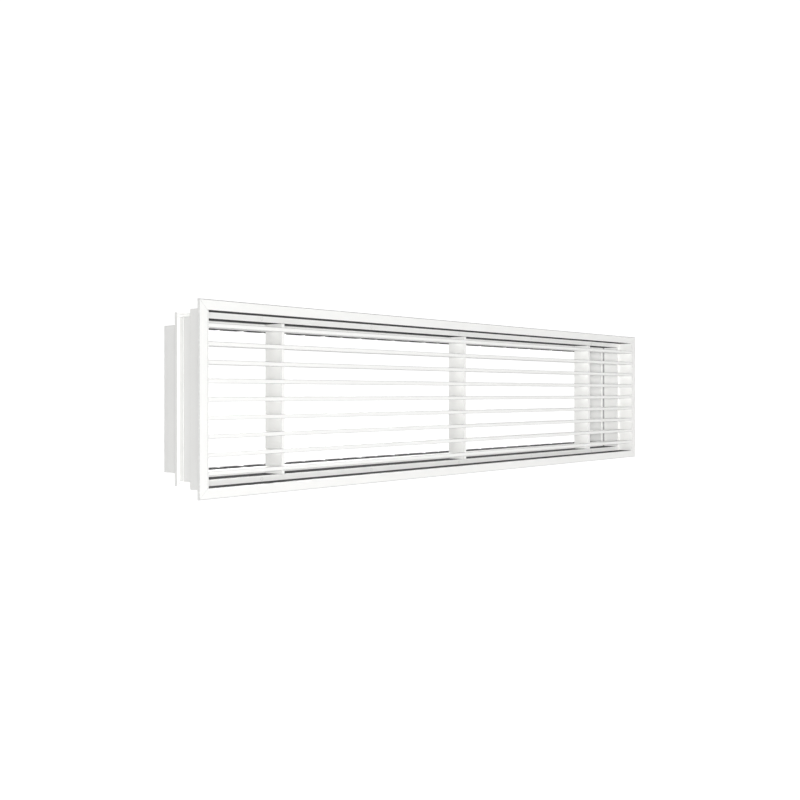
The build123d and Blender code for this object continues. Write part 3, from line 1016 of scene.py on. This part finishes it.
def clip_arms():
    """The four sprung arms, tapered towards a turned-in tip."""
    for side in LONG_SIDES:
        for place in ENDS:
            node = f"clip_arm_{side}_{place}"
            low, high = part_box(node)
            centre_x = (low.x + high.x) / 2
            wide = (high.x - low.x) / 2
            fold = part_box("clip_bases")
            fold_outer = HALF_H - fold[1].z + CLIP_STEEL / 2
            root = Vector((fold_outer, high.y - FACE_Y - ARM_ROOT_GAP))
            lean = Vector((-math.sin(ARM_LEAN), -math.cos(ARM_LEAN)))
            turned = Vector((math.sin(TIP_TURN), -math.cos(TIP_TURN)))
            bend = root + lean * ARM_LENGTH
            corners = [root, bend, bend + turned * TIP_LENGTH]
            path = spaced(rounded_path(corners, TIP_BEND), 0.8 * MM)

            def half_width(run, total):
                """Tapered arm with a rounded tip."""
                taper = ARM_TAPER * max(0.0, run / total - 0.25)
                return wide * (1 - taper) - corner_cut(total - run, TIP_CORNER)

            mesh = bmesh.new()
            leaf(mesh, path, half_width, CLIP_STEEL, across_side(side, centre_x))
            piece = finished_piece(f"sprung_arm_{side}_{place}", mesh, node, "spring_steel")
            round_edges(piece, CLIP_EDGE)


def joining_cleats():
    """Folded angles that tie the neck to the coupling frame."""
    mesh = bmesh.new()
    for low, high in solids("joining_cleats"):
        side = "top" if low.z > 0 else "bottom"
        wall = HALF_H - min(abs(low.z), abs(high.z)) - CLEAT_STEEL / 2
        foot = HALF_H - max(abs(low.z), abs(high.z))
        front = low.y - FACE_Y
        rear = high.y - FACE_Y - CLEAT_STEEL / 2
        centre_x = (low.x + high.x) / 2
        wide = (high.x - low.x) / 2
        corners = [(wall, front), (wall, rear), (foot, rear)]
        path = spaced(rounded_path(corners, CLEAT_BEND), 0.4 * MM)

        def half_width(run, total):
            """Full width with rounded corners at both ends."""
            return wide - corner_cut(min(run, total - run), CLEAT_CORNER)

        leaf(mesh, path, half_width, CLEAT_STEEL, across_side(side, centre_x))
    piece = finished_piece("folded_joining_cleats", mesh, "joining_cleats", "zinc_steel")
    round_edges(piece, CLEAT_EDGE)


def corner_cleats():
    """Pressed corner plates, each leg staked twice into the groove."""
    mesh = welded("corner_cleats")
    name, finish = "staked_corner_cleats", "bare_aluminium"
    piece = finished_piece(name, mesh, "corner_cleats", finish, smooth=False)
    cutters = bmesh.new()
    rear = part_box("corner_cleats")[1].y
    for sx in (-1, 1):
        for sz in (-1, 1):
            for leg in STAKE_LEGS:
                for inset_x, inset_z in ((leg, STAKE_MIDDLE), (STAKE_MIDDLE, leg)):
                    place = Vector((sx * (HALF_W - inset_x), rear, sz * (HALF_H - inset_z)))
                    lathe(cutters, STAKE_DENT, place, Vector((0, 1, 0)), 20)
    cut_away(piece, cutters)
    round_edges(piece, CORNER_CLEAT_EDGE)


# ---------------------------------------------------------------- seals and linings
def rounded_outline(inset, depth, radius, steps=4):
    """A strip's closed section, its four corners rounded; (inset, depth) points."""
    a, b = inset
    c, d = depth
    points = []
    for (x, y), start in (
        ((b - radius, c + radius), -90),
        ((b - radius, d - radius), 0),
        ((a + radius, d - radius), 90),
        ((a + radius, c + radius), 180),
    ):
        for i in range(steps + 1):
            turn = math.radians(start + 90 * i / steps)
            points.append((x + radius * math.cos(turn), y + radius * math.sin(turn)))
    return points


def soft_strip(mesh, side, outline, reach, mitred, step, ripple, seed):
    """A cut strip of foam run along one side, slightly uneven by hand."""
    stations = max(8, round(2 * reach / step))
    rings = []
    mid = [sum(p[i] for p in outline) / len(outline) for i in range(2)]
    size = abs(outline[0][0] - mid[0]) + abs(outline[0][1] - mid[1])
    for i in range(stations + 1):
        share = 2 * i / stations - 1
        ring = []
        for inset, depth in outline:
            length = reach - inset if mitred else reach
            along = share * length
            drift = noise.noise(Vector((along * 45, seed, depth * 300))) * ripple
            fine = noise.noise(Vector((along * 420, inset * 900, seed + 7))) * ripple * 0.5
            pull = 1 - abs(drift + fine) / size
            pulled_inset = mid[0] + (inset - mid[0]) * pull
            pulled_depth = mid[1] + (depth - mid[1]) * pull
            ring.append(on_side(side, pulled_inset, pulled_depth, along))
        rings.append(ring)
    skin(mesh, rings)


def neck_seals():
    """Foam strips round the neck's rear edge, mitred at the corners."""
    for seed, side in enumerate(SIDES):
        node = f"neck_seal_{side}"
        low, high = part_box(node)
        inward, reach, _ = SIDES[side]
        insets = sorted((reach + inward.dot(low), reach + inward.dot(high)))
        depths = (low.y - FACE_Y, high.y - FACE_Y)
        outline = rounded_outline(insets, depths, NECK_FOAM_CORNER)
        half_run = HALF_W if side in LONG_SIDES else HALF_H
        mesh = bmesh.new()
        soft_strip(
            mesh,
            side,
            outline,
            half_run,
            mitred=True,
            step=NECK_FOAM_STEP,
            ripple=NECK_FOAM_RIPPLE,
            seed=seed * SEED_STEP,
        )
        finished_piece(f"neck_foam_{side}", mesh, node, "grey_seal")


def flange_seal():
    """Foam strips in the groove behind the flange, between the corner cleats."""
    mesh = bmesh.new()
    low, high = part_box("flange_seal")
    depths = (low.y - FACE_Y, high.y - FACE_Y)
    outline = rounded_outline(FLANGE_GROOVE, depths, FLANGE_FOAM_CORNER)
    for seed, side in enumerate(SIDES):
        half_run = HALF_W if side in LONG_SIDES else HALF_H
        soft_strip(
            mesh,
            side,
            outline,
            half_run - CORNER_CLEAT_LEG,
            mitred=False,
            step=FLANGE_FOAM_STEP,
            ripple=FLANGE_FOAM_RIPPLE,
            seed=FLANGE_FOAM_SEED + seed * SEED_STEP,
        )
    finished_piece("flange_foam", mesh, "flange_seal", "grey_seal")


def painted_shade_linings():
    """Black flocked strips inside the long walls, their cut edges softened: dark pieces set where
    the inner walls are in shade, painted shade.
    """
    sharp_angle = math.radians(40)
    for layer, soft in LINING_EDGES.items():
        for side in LONG_SIDES:
            node = f"{layer}_lining_{side}"
            mesh = welded(node)
            sharp = [e for e in mesh.edges if e.is_manifold and e.calc_face_angle() > sharp_angle]
            bmesh.ops.bevel(
                mesh,
                geom=sharp,
                offset=soft,
                offset_type="OFFSET",
                segments=3,
                profile=0.5,
                affect="EDGES",
                clamp_overlap=True,
            )
            # Each strip is a dark piece standing in for the shade on that wall
            finished_piece(f"{layer}_shade_flock_{side}", mesh, node, "black_lining")


# ---------------------------------------------------------------- studio
def look(name, eye, turn, lens, shift):
    """A level camera, turned from +Y towards +X."""
    data = bpy.data.cameras.new(name)
    data.sensor_width = 36.0
    data.lens = lens
    data.shift_y = shift
    data.clip_start = 0.01
    data.clip_end = 200.0
    camera = bpy.data.objects.new(name, data)
    camera.location = eye
    camera.rotation_euler = (math.radians(90), 0, -math.radians(turn))
    bpy.context.scene.collection.objects.link(camera)
    bpy.context.scene.camera = camera
    return camera


def white_to_camera(tree, shader, seen, surface):
    """Show the camera a plain white and everything else the shader."""
    seen.inputs["Strength"].default_value = SEEN_WHITE
    either = tree.nodes.new("ShaderNodeMixShader")
    path = tree.nodes.new("ShaderNodeLightPath")
    link(tree, path.outputs["Is Camera Ray"], either.inputs[0])
    link(tree, shader.outputs[0], either.inputs[1])
    link(tree, seen.outputs[0], either.inputs[2])
    link(tree, either.outputs[0], surface)


def white_room(ambient, mirrored):
    """Pale surroundings: white to look at, bright in gloss, softer as a light."""
    world = bpy.data.worlds.new("pale room")
    bpy.context.scene.world = world
    world.use_nodes = True
    tree = world.node_tree
    soft = tree.nodes["Background"]
    soft.inputs["Color"].default_value = (1, 1, 1, 1)
    path = tree.nodes.new("ShaderNodeLightPath")
    strength = spread(tree, path.outputs["Is Glossy Ray"], 0.0, 1.0, ambient, mirrored)
    link(tree, strength, soft.inputs["Strength"])
    seen = tree.nodes.new("ShaderNodeBackground")
    seen.inputs["Color"].default_value = (1, 1, 1, 1)
    white_to_camera(tree, soft, seen, tree.nodes["World Output"].inputs["Surface"])


def pale_floor(level):
    """A plain pale floor well below the grille."""
    mesh = bmesh.new()
    bmesh.ops.create_grid(mesh, x_segments=8, y_segments=8, size=60.0)
    data = bpy.data.meshes.new("floor")
    mesh.to_mesh(data)
    mesh.free()
    floor = bpy.data.objects.new("floor", data)
    floor.location.z = level
    bpy.context.scene.collection.objects.link(floor)
    material, tree, shader = new_material("pale floor", 0.9, level=0.1)
    shader.inputs["Base Color"].default_value = (0.9, 0.9, 0.9, 1)
    lit = tree.nodes.new("ShaderNodeEmission")
    white_to_camera(tree, shader, lit, tree.nodes["Material Output"].inputs["Surface"])
    data.materials.append(material)


def even_lamp(name, place, size, power):
    """A soft lamp whose light doesn't weaken with distance."""
    data = bpy.data.lights.new(name, "POINT")
    data.energy = power
    data.shadow_soft_size = size
    data.use_nodes = True
    tree = data.node_tree
    even = tree.nodes.new("ShaderNodeLightFalloff")
    link(tree, even.outputs["Constant"], tree.nodes["Emission"].inputs["Strength"])
    lamp = bpy.data.objects.new(name, data)
    lamp.location = place
    bpy.context.scene.collection.objects.link(lamp)


def sun(name, towards, spread_angle, strength, shadows=True):
    """A far, soft light that shines towards a direction."""
    data = bpy.data.lights.new(name, "SUN")
    data.energy = strength
    data.use_shadow = shadows
    data.angle = math.radians(spread_angle)
    lamp = bpy.data.objects.new(name, data)
    lamp.rotation_euler = Vector(towards).to_track_quat("-Z", "Y").to_euler()
    bpy.context.scene.collection.objects.link(lamp)


def studio():
    """Camera, room, floor and lights."""
    eye = Vector((-HALF_W - EYE_LEFT, FACE_Y - EYE_FRONT, EYE_HEIGHT))
    camera = look("front left", eye, CAMERA_TURN, CAMERA_LENS, CAMERA_SHIFT)
    white_room(ROOM_AMBIENT, ROOM_MIRRORED)
    pale_floor(FLOOR_LEVEL)
    behind = camera.rotation_euler.to_matrix() @ Vector((0, 0, LAMP_BACK))
    even_lamp("behind the camera", eye + behind, LAMP_SIZE, LAMP_POWER)
    for name, towards, strength in FILLS:
        sun(name, towards, FILL_SPREAD, strength, shadows=False)
    sun("rear key", REAR_KEY_TOWARDS, REAR_KEY_SPREAD, REAR_KEY_STRENGTH)
    bpy.context.scene.view_settings.view_transform = "Standard"


# ---------------------------------------------------------------- build
finish_kept_nodes()
sleeve_rivets()
outward_rivets("cleat_blind_rivets", "cleat_rivets", CLEAT_SHANK)
outward_rivets("clip_blind_rivets", "clip_rivets", CLIP_SHANK)
ledge_rivets()
end_screws()
core_springs()
clip_bases()
clip_arms()
joining_cleats()
corner_cleats()
neck_seals()
flange_seal()
painted_shade_linings()
studio()
